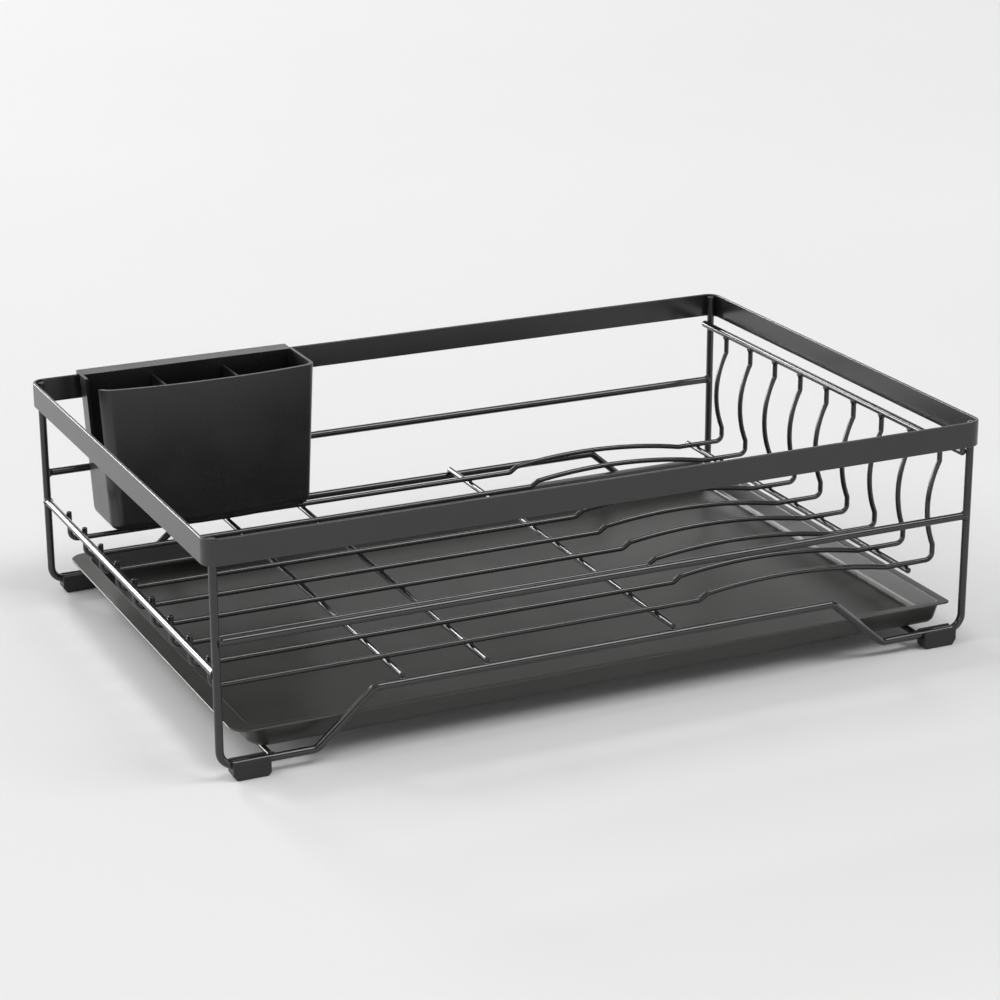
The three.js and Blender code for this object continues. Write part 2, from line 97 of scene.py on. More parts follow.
# %% Colour and node helpers
def linear(hex_colour):
    """An sRGB hex colour such as "#30302e" as a linear RGBA tuple."""
    channels = []
    for i in (1, 3, 5):
        c = int(hex_colour[i:i + 2], 16) / 255
        channels.append(c / 12.92 if c <= 0.04045 else ((c + 0.055) / 1.055) ** 2.4)
    return (*channels, 1.0)


def add_node(tree, kind, inputs=None, **settings):
    """Adds a node, sets its own settings, and sets or links its sockets by name."""
    node = tree.nodes.new(kind)
    for name, value in settings.items():
        setattr(node, name, value)
    for name, value in (inputs or {}).items():
        if isinstance(value, bpy.types.NodeSocket):
            tree.links.new(value, node.inputs[name])
        else:
            node.inputs[name].default_value = value
    return node


# %% [markdown]
# ## A finish with grain
#
# A coated, moulded or pressed surface is never one flat colour. Three things vary: its colour
# drifts a little over several centimetres, its gloss drifts with handling, and its skin has a
# fine relief whose pitch belongs to how it was made. The function below builds these three
# from noise in the piece's own coordinates, so that the grain moves with the piece. All
# pitches are real sizes in millimetres.

# %% Finish builder
CLOUD_DETAIL, CLOUD_ROUGHNESS = 3.0, 0.55  # a few octaves, so that the drift has soft edges
GRAIN_DETAIL, GRAIN_ROUGHNESS = 2.0, 0.5
NOISE_LOW, NOISE_HIGH = 0.3, 0.7  # nearly all values of the noise lie between these
COATING_IOR = 1.5  # paint, polypropylene, rubber and paper are all close to this


def finish(name, dark, light, roughness, grain, relief, cloud=35, specular=0.5):
    """A dielectric finish.

    dark and light are the two colours that it drifts between, and cloud is the pitch of that
    drift. roughness is a low and a high value. grain is the pitch of its relief and relief
    the depth. The pitches and the depth are in millimetres.
    """
    material = bpy.data.materials.new(name)
    material.use_nodes = True
    tree = material.node_tree
    tree.nodes.clear()
    place = add_node(tree, "ShaderNodeTexCoord").outputs["Object"]
    clouds = add_node(tree, "ShaderNodeTexNoise", {
        "Vector": place, "Scale": 1 / (cloud * MM),
        "Detail": CLOUD_DETAIL, "Roughness": CLOUD_ROUGHNESS,
    })
    fine = add_node(tree, "ShaderNodeTexNoise", {
        "Vector": place, "Scale": 1 / (grain * MM),
        "Detail": GRAIN_DETAIL, "Roughness": GRAIN_ROUGHNESS,
    })
    colour = add_node(tree, "ShaderNodeMixRGB", {
        "Fac": clouds.outputs["Fac"], "Color1": linear(dark), "Color2": linear(light),
    })
    gloss = add_node(tree, "ShaderNodeMapRange", {
        "Value": clouds.outputs["Fac"], "From Min": NOISE_LOW, "From Max": NOISE_HIGH,
        "To Min": roughness[0], "To Max": roughness[1],
    })
    bump = add_node(tree, "ShaderNodeBump", {
        "Height": fine.outputs["Fac"], "Distance": relief * MM, "Strength": 1.0,
    })
    shader = add_node(tree, "ShaderNodeBsdfPrincipled", {
        "Base Color": colour.outputs["Color"], "Roughness": gloss.outputs["Result"],
        "Normal": bump.outputs["Normal"], "IOR": COATING_IOR,
        "Specular IOR Level": specular,
    })
    add_node(tree, "ShaderNodeOutputMaterial", {"Surface": shader.outputs["BSDF"]})
    print("finish", name, "grain", grain, "mm")
    return material


# %% [markdown]
# ## The four finishes
#
# The wires and the band are steel under a black satin powder coat. The powder is sprayed on
# dry and melts in an oven, which leaves a faint orange peel about a millimetre across and a
# highlight that is clear but has soft edges. The tray wears the same kind of coat over sheet,
# a shade lighter and smoother. The utensil holder is moulded polypropylene with a fine
# texture and a satin shine, and the feet are rubber, which hardly shines.

# %% Finishes
powder_coat = finish(  # polyester powder coat: satin, a soft but clear highlight
    "black_powder_coat", "#1a1a1a", "#222222", (0.18, 0.25), grain=1.1, relief=0.007,
    specular=0.65,
)
tray_coat = finish(  # the same coat on flat sheet: the colour drifts a little more
    "grey_sheet_powder_coat", "#2d2d2b", "#393937", (0.28, 0.31), grain=1.3, relief=0.002,
)
holder_plastic = finish(  # moulded polypropylene: a fine satin skin, deep black
    "black_moulded_polypropylene", "#181818", "#1e1e1e", (0.24, 0.32), grain=0.35, relief=0.006,
    specular=0.65,
)
foot_rubber = finish(  # moulded nitrile rubber: matt, with a dusty bloom
    "black_rubber", "#1d1d1d", "#282828", (0.68, 0.82), grain=0.6, relief=0.02, cloud=12,
)

# %% [markdown]
# ## The floor and the light
#
# The rack stands on pale paper in a studio with bright walls, a soft ceiling and a dark belt
# between them. The belt is what the flat tops of the tray and the holder mirror, so they stay
# dark. Two soft boxes overhead light the paper, a white wall on the left brightens the faces
# that look that way, and a box behind draws the long white lines on the wires that run from
# front to back.

# %% Floor, surround and soft boxes
FLOOR_HALF = 9.0  # metres from the middle to each edge
WALL_RADIANCE = 1.7  # on a scale where lit white paper is about 1
GAP_RADIANCE = 0.08  # the dark belt between the walls and the ceiling
CEILING_RADIANCE = 0.50
WALL_EDGE = (9, 24)  # elevations in degrees between which the wall's light fades
CEILING_EDGE = (34, 52)
floor_mesh = bpy.data.meshes.new("paper_floor")
floor_mesh.from_pydata(
    [(sx * FLOOR_HALF, sy * FLOOR_HALF, 0) for sx, sy in ((-1, -1), (1, -1), (1, 1), (-1, 1))],
    [], [(0, 1, 2, 3)],
)
floor = bpy.data.objects.new("paper_floor", floor_mesh)
bpy.context.scene.collection.objects.link(floor)
floor_mesh.materials.append(finish(
    "pale_paper", "#d7d7d7", "#dddddd", (0.85, 0.95), grain=0.5, relief=0.01, cloud=900,
    specular=0.05,
))

world = bpy.data.worlds.new("studio_room")
world.use_nodes = True
bpy.context.scene.world = world
room = world.node_tree
room_height = add_node(room, "ShaderNodeSeparateXYZ", {
    "Vector": add_node(room, "ShaderNodeTexCoord").outputs["Generated"],
}).outputs["Z"]


def room_band(start, end, low, high):
    """Radiance that goes smoothly from low to high between two elevations in degrees."""
    return add_node(room, "ShaderNodeMapRange", {
        "Value": room_height, "From Min": math.sin(math.radians(start)),
        "From Max": math.sin(math.radians(end)), "To Min": low, "To Max": high,
    }, interpolation_type="SMOOTHSTEP").outputs["Result"]


room_light = add_node(room, "ShaderNodeMath", {
    0: room_band(*WALL_EDGE, WALL_RADIANCE, GAP_RADIANCE),
    1: room_band(*CEILING_EDGE, 0.0, CEILING_RADIANCE),
}, operation="ADD")
room.links.new(room_light.outputs["Value"], room.nodes["Background"].inputs["Strength"])
room.nodes["Background"].inputs["Color"].default_value = linear("#fefefe")
bpy.context.scene.view_settings.view_transform = "Standard"


LIGHT_DISTANCE = 8  # metres, far enough to light the whole rack evenly


def soft_box(name, azimuth, elevation, size, radiance):
    """A rectangular area light that faces the rack, from a direction given in degrees.

    Azimuth runs from +Y towards +X. size is (width, height) in metres, and radiance is
    roughly how bright the box looks next to lit white paper, which is about 1.
    """
    turn, lift = math.radians(azimuth), math.radians(elevation)
    away = Vector((
        math.sin(turn) * math.cos(lift), math.cos(turn) * math.cos(lift), math.sin(lift),
    ))
    light = bpy.data.lights.new(name, "AREA")
    light.shape = "RECTANGLE"
    light.size, light.size_y = size
    light.energy = radiance * math.pi * size[0] * size[1]
    lamp = bpy.data.objects.new(name, light)
    turned = (-away).to_track_quat("-Z", "Y").to_matrix().to_4x4()
    lamp.matrix_world = Matrix.Translation(away * LIGHT_DISTANCE) @ turned
    bpy.context.scene.collection.objects.link(lamp)
    print("light", name, "radiance", radiance, "watts", round(light.energy))


soft_box("box_right", azimuth=128, elevation=60, size=(3.4, 3.4), radiance=6.8)
soft_box("box_left", azimuth=-90, elevation=50, size=(3.0, 3.0), radiance=4.4)
soft_box("wall_left_behind", azimuth=-46, elevation=8, size=(8.0, 2.2), radiance=13)
soft_box("box_behind", azimuth=-14, elevation=27, size=(2.0, 1.5), radiance=22)

# %% [markdown]
# ## Shared shapes
#
# Almost everything here is a line that bends: a wire's centre line, or the outline of a
# tray. So one function rounds the corners of a chain of points, open or closed, and one
# draws a shallow arc. Both work in plain 2-D and in metres.

# %% Rounded chains and arcs
BEND_STEP = math.radians(7.5)
STRAIGHT = 1e-4  # a turn smaller than this needs no bend


def rounded(corners, closed=False, step=BEND_STEP, segments=None):
    """Corners are (a, b) or (a, b, radius). Each corner with a radius becomes an arc.

    segments sets the same count for every arc, so that outlines that change shape still match.
    """
    points = []
    count = len(corners)
    for i, corner in enumerate(corners):
        here = Vector(corner[:2])
        radius = corner[2] if len(corner) > 2 else 0
        if radius == 0 or (not closed and i in (0, count - 1)):
            points.append(here)
            continue
        back = (Vector(corners[i - 1][:2]) - here).normalized()
        ahead = (Vector(corners[(i + 1) % count][:2]) - here).normalized()
        turn = math.pi - back.angle(ahead)
        if turn < STRAIGHT:
            points.append(here)
            continue
        centre = here + (back + ahead).normalized() * radius / math.cos(turn / 2)
        spoke = here + back * radius * math.tan(turn / 2) - centre
        sense = -math.copysign(1, back.x * ahead.y - back.y * ahead.x)
        steps = segments or max(2, math.ceil(turn / step - 0.01))
        for k in range(steps + 1):
            points.append(centre + Matrix.Rotation(sense * turn * k / steps, 2) @ spoke)
    return points


def bowed(a, b, sag, steps=24):
    """Points of the arc from a to b whose middle stands sag off the chord, to its left."""
    a, b = Vector(a), Vector(b)
    half = (b - a).length / 2
    radius = (half * half + sag * sag) / (2 * sag)
    chord = (b - a).normalized()
    side = Vector((-chord.y, chord.x))
    centre = (a + b) / 2 + side * (sag - radius)
    reach = math.asin(half / radius)
    points = []
    for k in range(steps + 1):
        angle = reach * (2 * k / steps - 1)
        points.append(
            centre + chord * radius * math.sin(angle) + side * radius * math.cos(angle)
        )
    return points


# %% [markdown]
# ## From points to pieces
#
# A round wire is a ring carried along its centre line, with the rims of its two cut ends
# rounded over as the coating leaves them. A tray or a band is a stack of outlines with skin
# between them. Both then go through the same two functions: one makes the object, turns its
# faces outwards and gives it its finish, and the other parents it to its body and hides the
# CAD parts that it stands for.

# %% Skin, sweep and piece
WIRE_SIDES = 20
WIRE_END_ROUND = 0.45 * MM
WIRE_END_STEPS = 3


def skin(rings, closed=False, capped=True):
    """Faces between rings of equal length. closed joins the last ring to the first."""
    count = len(rings[0])
    verts = [tuple(p) for ring in rings for p in ring]
    faces = []
    for r in range(len(rings) if closed else len(rings) - 1):
        low, high = r * count, (r + 1) % len(rings) * count
        for i in range(count):
            j = (i + 1) % count
            faces.append((low + i, low + j, high + j, high + i))
    if capped and not closed:
        faces.append(tuple(range(count))[::-1])
        faces.append(tuple(range(len(verts) - count, len(verts))))
    return verts, faces


def sweep(points, radius, side):
    """Rings of a round wire along points. side is a unit vector square to the whole path."""
    last = len(points) - 1
    tangents = []
    for i in range(last + 1):
        into = (points[i] - points[max(i - 1, 0)]).normalized()
        out = (points[min(i + 1, last)] - points[i]).normalized()
        tangents.append((into + out).normalized())
    stations = []
    for k in range(WIRE_END_STEPS + 1):
        angle = math.pi / 2 * k / WIRE_END_STEPS
        stations.append((
            WIRE_END_ROUND * (1 - math.cos(angle)),
            radius - WIRE_END_ROUND * (1 - math.sin(angle)),
        ))
    path = [(points[0] + tangents[0] * d, tangents[0], r) for d, r in stations]
    path += [(points[i], tangents[i], radius) for i in range(1, last)]
    path += [(points[-1] - tangents[-1] * d, tangents[-1], r) for d, r in reversed(stations)]
    rings = []
    for centre, tangent, r in path:
        across = tangent.cross(side).normalized()
        rings.append([
            centre + r * (side * math.cos(a) + across * math.sin(a))
            for a in (2 * math.pi * i / WIRE_SIDES for i in range(WIRE_SIDES))
        ])
    return skin(rings)


def make_object(name, verts, faces, material):
    """A linked object whose faces point outwards and are shaded smooth."""
    mesh = bpy.data.meshes.new(name)
    mesh.from_pydata([tuple(v) for v in verts], [], faces)
    work = bmesh.new()
    work.from_mesh(mesh)
    bmesh.ops.recalc_face_normals(work, faces=work.faces)
    for face in work.faces:
        face.smooth = True
    work.to_mesh(mesh)
    work.free()
    mesh.materials.append(material)
    piece = bpy.data.objects.new(name, mesh)
    bpy.context.scene.collection.objects.link(piece)
    return piece


def hand_over(piece, body, slot, *nodes):
    """Lets face areas weigh the shading, parents the piece to its body and hides its CAD parts.
    """
    piece.modifiers.new("weighted_normals", "WEIGHTED_NORMAL").keep_sharp = True
    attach(piece, body)
    if nodes:
        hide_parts(*nodes)
    print(piece.name, len(piece.data.polygons), "faces")


def wire(node, points, radius, side=(0, 0, 1)):
    """One coated wire that stands for the CAD node of the same name."""
    verts, faces = sweep([Vector(p) for p in points], radius, Vector(side))
    piece = make_object(node + "_coated", verts, faces, powder_coat)
    hand_over(piece, "rack", "powder_coat", node)


# %% [markdown]
# ## Sizes taken from the frame
#
# Positions and diameters are read from the CAD boxes, so the looks follow the design. What
# a box can't say, such as a bend's radius or the band's thickness, is named here.

# %% Measures
BAND_THICKNESS = 1.6 * MM
BAND_CORNER = 8 * MM
BAND_EDGE = 0.45 * MM  # the strip's edges are rolled round
BAND_EDGE_STEP = math.radians(22.5)
WELD_GAP = 0.1 * MM
LEG_BEND = 8 * MM
RAMP_BEND = 6 * MM
RAMP_FOOT_FROM_LEG = 50.7 * MM
RAMP_RUN = 31.7 * MM

frame_low, frame_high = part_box("front_frame_wire")
frame_r = (frame_high.y - frame_low.y) / 2
leg_x = frame_high.x - frame_r
leg_y = -(frame_high.y + frame_low.y) / 2
leg_top = frame_high.z
low_run_z = frame_low.z + frame_r

cross_low, cross_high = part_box("cross_wire_left")
cross_r = (cross_high.z - cross_low.z) / 2
cross_z = cross_low.z + cross_r
raised_run_z = cross_low.z - WELD_GAP - frame_r

plate_low, plate_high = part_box("plate_wire_1")
plate_r = (plate_high.y - plate_low.y) / 2
plate_z = plate_low.z + plate_r
print("wire radii in mm:", [round(r / MM, 2) for r in (frame_r, cross_r, plate_r)])

# %% [markdown]
# ## The rim band
#
# One steel strip on edge, bent into a rounded rectangle. The section is a thin upright
# rectangle with rolled edges. Each point of that section, carried round the rack, is one
# outline, and skin between the outlines gives the band. Its narrow top edge is what catches
# the light.

# %% Rim band
band_low, band_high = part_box("rim_band")


def outline(low, high, inset, radii, z, step=BEND_STEP):
    """A rounded rectangle, drawn in by the insets left, right, front and back."""
    left, right_side, front, back = inset
    corners = [
        (low.x + left, low.y + front, radii[0]), (high.x - right_side, low.y + front, radii[1]),
        (high.x - right_side, high.y - back, radii[1]), (low.x + left, high.y - back, radii[0]),
    ]
    return [Vector((p.x, p.y, z)) for p in rounded(corners, closed=True, step=step)]


band_section = rounded([
    (0, band_low.z, BAND_EDGE), (BAND_THICKNESS, band_low.z, BAND_EDGE),
    (BAND_THICKNESS, band_high.z, BAND_EDGE), (0, band_high.z, BAND_EDGE),
], closed=True, step=BAND_EDGE_STEP)
band_rings = [
    outline(band_low, band_high, [p.x] * 4, [BAND_CORNER - p.x] * 2, p.y) for p in band_section
]
rim_band = make_object("rim_band_coated", *skin(band_rings, closed=True), powder_coat)
hand_over(rim_band, "rack", "powder_coat", "rim_band")

# %% [markdown]
# ## The frame wires and the rails
#
# Each long side has one thick wire: down the leg, along over the foot, up a ramp, across,
# and the same again in mirror image. It is bent in one plane, so its path is a flat chain
# with a radius at each corner. The rails are straight and welded between or across the legs.

# %% Frame wires and rails
ramp_foot_x = leg_x - RAMP_FOOT_FROM_LEG
ramp_top_x = ramp_foot_x - RAMP_RUN
half_path = [
    (ramp_top_x, raised_run_z, RAMP_BEND), (ramp_foot_x, low_run_z, RAMP_BEND),
    (leg_x, low_run_z, LEG_BEND), (leg_x, leg_top),
]
mirrored = [(-x, z, *radius) for x, z, *radius in reversed(half_path)]
frame_path = rounded(mirrored + half_path)
for node, y in (("front_frame_wire", -leg_y), ("back_frame_wire", leg_y)):
    wire(node, [(p.x, y, p.y) for p in frame_path], frame_r, side=(0, 1, 0))


def straight_wire(node):
    """A straight wire along its CAD box's longest side."""
    low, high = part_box(node)
    middle = (low + high) / 2
    axis = max(range(3), key=lambda i: high[i] - low[i])
    start, end = middle.copy(), middle.copy()
    start[axis], end[axis] = low[axis], high[axis]
    radius = (high.z - low.z) / 2
    wire(node, [start, middle, end], radius)
    return start, end, radius


rail_ends = {
    node: straight_wire(node)
    for node in ("front_mid_rail", "back_mid_rail", "hook_rail", "top_rail",
                 "tray_rail_left", "tray_rail_right")
}

# %% [markdown]
# ## The grid
#
# Nine plate wires carry the plates. Each starts in a small hook on the left rail, runs flat,
# steps up into a long low arch that tips plates back, comes down again, and turns up into an
# upright with an inward belly that keeps plates apart. Four cross wires run under them.

# %% Plate wires and cross wires
HOOK_BEND = 4.5 * MM
HOOK_PROUD = 0.5 * MM
HUMP_END_FROM_TOP_RAIL = 33.1 * MM
HUMP_LENGTH = 115.5 * MM
HUMP_STEP_RUN = 4.5 * MM
HUMP_STEP_RISE = 3 * MM
HUMP_SAG = 4.8 * MM
UPRIGHT_BEND = 4 * MM
UPRIGHT_INSET = 1.1 * MM
UPRIGHT_LEAN = 2 * MM
UPRIGHT_LOW_KINK = 8.65 * MM
UPRIGHT_HIGH_KINK = 10.8 * MM
UPRIGHT_SAG = 5.3 * MM
KINK_BEND = 3 * MM

hook_rail_z = rail_ends["hook_rail"][0].z
top_rail_start, _, top_rail_r = rail_ends["top_rail"]


def kinked(points):
    """The arc's two end points get a small bend radius."""
    ends = (0, len(points) - 1)
    return [(*p, KINK_BEND) if k in ends else tuple(p) for k, p in enumerate(points)]


def plate_path():
    """The centre line in X and Z, from the hook's tip to the top rail."""
    hook_x = plate_low.x + plate_r
    top_x = top_rail_start.x - UPRIGHT_INSET
    foot_x = top_x - UPRIGHT_LEAN
    hump_end = top_rail_start.x - HUMP_END_FROM_TOP_RAIL
    hump_start = hump_end - HUMP_LENGTH
    arch = bowed((hump_start + HUMP_STEP_RUN, plate_z + HUMP_STEP_RISE), (hump_end, plate_z),
                 HUMP_SAG)
    upright = bowed((foot_x, plate_z + UPRIGHT_LOW_KINK),
                    (top_x, top_rail_start.z - UPRIGHT_HIGH_KINK), UPRIGHT_SAG)
    return rounded([
        (hook_x, hook_rail_z + frame_r + HOOK_PROUD),
        (hook_x, plate_z, HOOK_BEND),
        (hump_start, plate_z, KINK_BEND),
        *kinked(arch),
        (foot_x, plate_z, UPRIGHT_BEND),
        *kinked(upright),
        (top_x, plate_high.z),
    ])


plate_nodes = [f"plate_wire_{i}" for i in range(1, 10)]
plate_ys = {}
path = plate_path()
for node in plate_nodes:
    low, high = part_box(node)
    plate_ys[node] = (low.y + high.y) / 2
    wire(node, [(p.x, plate_ys[node], p.y) for p in path], plate_r, side=(0, 1, 0))

cross_nodes = ["cross_wire_left", "cross_wire_centre_left", "cross_wire_centre_right",
               "cross_wire_right"]
cross_ends = {node: straight_wire(node) for node in cross_nodes}

# %% [markdown]
# ## The welds
#
# The wires are resistance welded: they are pressed together and a current melts the touching
# metal, which squeezes out as a small bead. The powder coat then rounds it off. Where two
# wires cross, the bead spreads into the four corners between them. Where a wire ends on
# another, it is a short collar. Each bead is a closed skin that reaches a little way into
# both wires.

# %% Weld beads
BEAD_RINGS = 6
BEAD_SIDES = 16
BEAD_LOBES = 0.22  # how far the bead draws in along the wires and spreads between them
GRID_BEAD = (1.35 * MM, 0.55 * MM)  # reach and half thickness, plate wire on cross wire
FRAME_BEAD = (1.5 * MM, 0.6 * MM)  # cross wire on frame wire
RAIL_BEAD = (1.6 * MM, 0.6 * MM)  # top rail on leg
COLLAR_REACH = 1.1 * MM
COLLAR_PROFILE = (  # place along the wire, in reaches, and thickness on it, in millimetres
    (-1.2, 0.75), (-0.35, 0.75), (0.1, 0.42), (0.5, 0.18), (1.0, 0.05), (1.4, -0.1),
)


def crossing_bead(centre, axis_a, axis_b, reach, thickness):
    """A four-lobed cushion between two crossing wires that run along axis_a and axis_b."""
    a, b = Vector(axis_a), Vector(axis_b)
    normal = a.cross(b).normalized()
    rings = []
    for k in range(1, BEAD_RINGS):
        tilt = math.pi * k / BEAD_RINGS
        ring = []
        for i in range(BEAD_SIDES):
            turn = 2 * math.pi * i / BEAD_SIDES
            spread = reach * math.sin(tilt) * (1 - BEAD_LOBES * math.cos(4 * turn))
            ring.append(centre + spread * (a * math.cos(turn) + b * math.sin(turn))
                        - normal * thickness * math.cos(tilt))
        rings.append(ring)
    return skin(rings)


def collar_bead(centre, direction, radius):
    """A concave collar where a wire of that radius, running along direction, meets another."""
    axis = Vector(direction).normalized()
    side = axis.orthogonal().normalized()
    other = axis.cross(side)
    rings = []
    for distance, grow in COLLAR_PROFILE:
        rings.append([
            centre + axis * COLLAR_REACH * distance
            + (radius + grow * MM) * (side * math.cos(t) + other * math.sin(t))
            for t in (2 * math.pi * i / WIRE_SIDES for i in range(WIRE_SIDES))
        ])
    return skin(rings)


def join_beads(name, beads):
    """One piece from a list of (verts, faces)."""
    verts, faces = [], []
    for some_verts, some_faces in beads:
        start = len(verts)
        verts += some_verts
        faces += [tuple(start + i for i in face) for face in some_faces]
    hand_over(make_object(name, verts, faces, powder_coat), "rack", "powder_coat")


X, Y, Z = Vector((1, 0, 0)), Vector((0, 1, 0)), Vector((0, 0, 1))
grid_beads = []
for node, y in plate_ys.items():
    for cross_start, _, _ in cross_ends.values():
        seat = Vector((cross_start.x, y, cross_z + cross_r + WELD_GAP / 2))
        grid_beads.append(crossing_bead(seat, X, Y, *GRID_BEAD))
    hook_seat = Vector((-leg_x + frame_r + WELD_GAP / 2, y, hook_rail_z))
    grid_beads.append(crossing_bead(hook_seat, Z, Y, *GRID_BEAD))
    top_seat = Vector((top_rail_start.x - UPRIGHT_INSET, y, plate_high.z))
    grid_beads.append(collar_bead(top_seat, -Z, plate_r))
join_beads("grid_weld_beads", grid_beads)

frame_beads = []
for node in cross_nodes[:3]:
    for end in cross_ends[node][:2]:
        y = math.copysign(leg_y, end.y)
        seat = Vector((end.x, y, raised_run_z + frame_r + WELD_GAP / 2))
        frame_beads.append(crossing_bead(seat, X, Y, *FRAME_BEAD))
for node in ("front_mid_rail", "back_mid_rail", "hook_rail",
             "tray_rail_left", "tray_rail_right"):
    start, end, radius = rail_ends[node]
    inward = (end - start).normalized()
    frame_beads.append(collar_bead(start, inward, radius))
    frame_beads.append(collar_bead(end, -inward, radius))
for y in (-leg_y, leg_y):
    lap = Vector((leg_x - frame_r - WELD_GAP / 2, y, top_rail_start.z))
    frame_beads.append(crossing_bead(lap, Y, Z, *RAIL_BEAD))
join_beads("frame_weld_beads", frame_beads)

# %% [markdown]
# ## The feet
#
# Each foot is a rubber block pushed up onto the wire, so it has a groove along its top. The
# CAD shape is right but has sharp edges. Rubber out of a mould has soft ones, so the piece
# starts from the CAD solid's flat faces and a bevel rounds every edge.

# %% Feet
FOOT_EDGE = 0.7 * MM
FOOT_EDGE_SEGMENTS = 4
FOOT_EDGE_ANGLE = math.radians(35)  # an edge sharper than this is rounded
SAME_POINT = 0.001 * MM
FLAT_ANGLE = math.radians(2)  # faces that meet at less than this are one flat face
for node in ("foot_front_left", "foot_back_left", "foot_front_right", "foot_back_right"):
    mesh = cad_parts[node].data.copy()
    work = bmesh.new()
    work.from_mesh(mesh)
    bmesh.ops.remove_doubles(work, verts=work.verts, dist=SAME_POINT)
    bmesh.ops.dissolve_limit(
        work, angle_limit=FLAT_ANGLE, verts=work.verts, edges=work.edges,
    )
    verts = [v.co.copy() for v in work.verts]
    faces = [tuple(v.index for v in face.verts) for face in work.faces]
    work.free()
    foot = make_object(node + "_rubber", verts, faces, foot_rubber)
    bevel = foot.modifiers.new("soft_edges", "BEVEL")
    bevel.width, bevel.segments = FOOT_EDGE, FOOT_EDGE_SEGMENTS
    bevel.angle_limit = FOOT_EDGE_ANGLE
    hand_over(foot, "rack", "foot_rubber", node)

# %% [markdown]
# ## The drip tray
#
# The tray is pressed from sheet, so its section has a radius at every turn: a rounded edge,
# a flat flange, a drafted wall, a chamfer and the floor. The section is drawn once and
# rounded, and each of its points becomes one outline round the tray. The flange is wider at
# the left end, so a point on the flange keeps its share of that side's width.

# %% Drip tray
TRAY_WALL = 1 * MM
TRAY_FLANGE = [9 * MM, 4 * MM, 3.5 * MM, 3.5 * MM]  # left, right, front, back
TRAY_RADII = [10 * MM, 3.5 * MM]  # left and right corners
TRAY_DRAFT = 2 * MM
TRAY_CHAMFER_RUN = 1.5 * MM
TRAY_CHAMFER_RISE = 2.5 * MM
TRAY_NARROW = 3.5 * MM  # the narrowest flange, which the section is drawn with
TRAY_EDGE = 1 * MM  # the rounded edge keeps its shape on every side
TRAY_PRESS_RADIUS = 2.2 * MM  # at both ends of the chamfer
TRAY_NECK_RADIUS = 0.9 * MM  # where the wall turns into the flange
TRAY_LIP_RADIUS = 0.45 * MM  # the sheet's own edge
TRAY_FLOOR_MARGIN = 6 * MM  # flat floor that is part of the section
TRAY_STEP = math.radians(12)

tray_low, tray_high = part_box("drip_tray")
tray_foot = TRAY_DRAFT + TRAY_CHAMFER_RUN
tray_floor = tray_low.z + TRAY_WALL
tray_section = rounded([
    (TRAY_WALL + tray_foot + TRAY_FLOOR_MARGIN, tray_floor),
    (TRAY_WALL + tray_foot, tray_floor, TRAY_PRESS_RADIUS),
    (TRAY_WALL + TRAY_DRAFT, tray_floor + TRAY_CHAMFER_RISE, TRAY_PRESS_RADIUS),
    (TRAY_WALL, tray_high.z, TRAY_NECK_RADIUS),
    (-TRAY_NARROW, tray_high.z, TRAY_LIP_RADIUS),
    (-TRAY_NARROW, tray_high.z - TRAY_WALL, TRAY_LIP_RADIUS),
    (0, tray_high.z - TRAY_WALL, TRAY_NECK_RADIUS),
    (TRAY_DRAFT, tray_low.z + TRAY_CHAMFER_RISE, TRAY_PRESS_RADIUS),
    (tray_foot, tray_low.z, TRAY_PRESS_RADIUS),
    (tray_foot + TRAY_FLOOR_MARGIN, tray_low.z),
], step=TRAY_STEP)


def tray_inset(u):
    """Insets from the flange's edge for a section point u from the flange's inner line."""
    from_edge = u + TRAY_NARROW
    if from_edge <= TRAY_EDGE:
        return [from_edge] * 4
    if u >= 0:
        return [flange + u for flange in TRAY_FLANGE]
    share = (from_edge - TRAY_EDGE) / (TRAY_NARROW - TRAY_EDGE)
    return [TRAY_EDGE + share * (flange - TRAY_EDGE) for flange in TRAY_FLANGE]


tray_rings = [
    outline(tray_low, tray_high, tray_inset(p.x), TRAY_RADII, p.y) for p in tray_section
]
tray = make_object("drip_tray_pressed", *skin(tray_rings), tray_coat)
hand_over(tray, "tray", "tray_coat", "drip_tray")

# %% [markdown]
# ## The utensil holder
#
# The holder is one moulding: a tapered box with a bowed front, two dividers, a U-shaped slot
# in its left wall and a lip that hooks over the band. The outside and the inside are two
# stacks of outlines, with a rounded floor. The slot, the dividers and the lip are cut and
# joined as solids, and then one bevel breaks every edge, as a mould does.

# %% Holder outlines
HOLDER_WALL = 1.8 * MM
HOLDER_TAPER = 4.6 * MM
HOLDER_BOW = 5.5 * MM
HOLDER_FRONT_RADII = (8 * MM, 6 * MM)
HOLDER_BACK_RADIUS = 1 * MM
HOLDER_FLOOR_RADIUS = 6 * MM
HOLDER_CORNER_SEGMENTS = 9
BOW_STEPS = 18
BOW_START = 0.1  # share of the front that each corner's bend takes up
LIP_THICKNESS = 1.5 * MM
LIP_DROP = 9 * MM
RAIL_CLEARANCE = 0.4 * MM

holder_low, holder_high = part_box("utensil_holder")
holder_back = leg_y - frame_r - RAIL_CLEARANCE
holder_front = holder_low.y
holder_bottom, holder_top = holder_low.z, holder_high.z


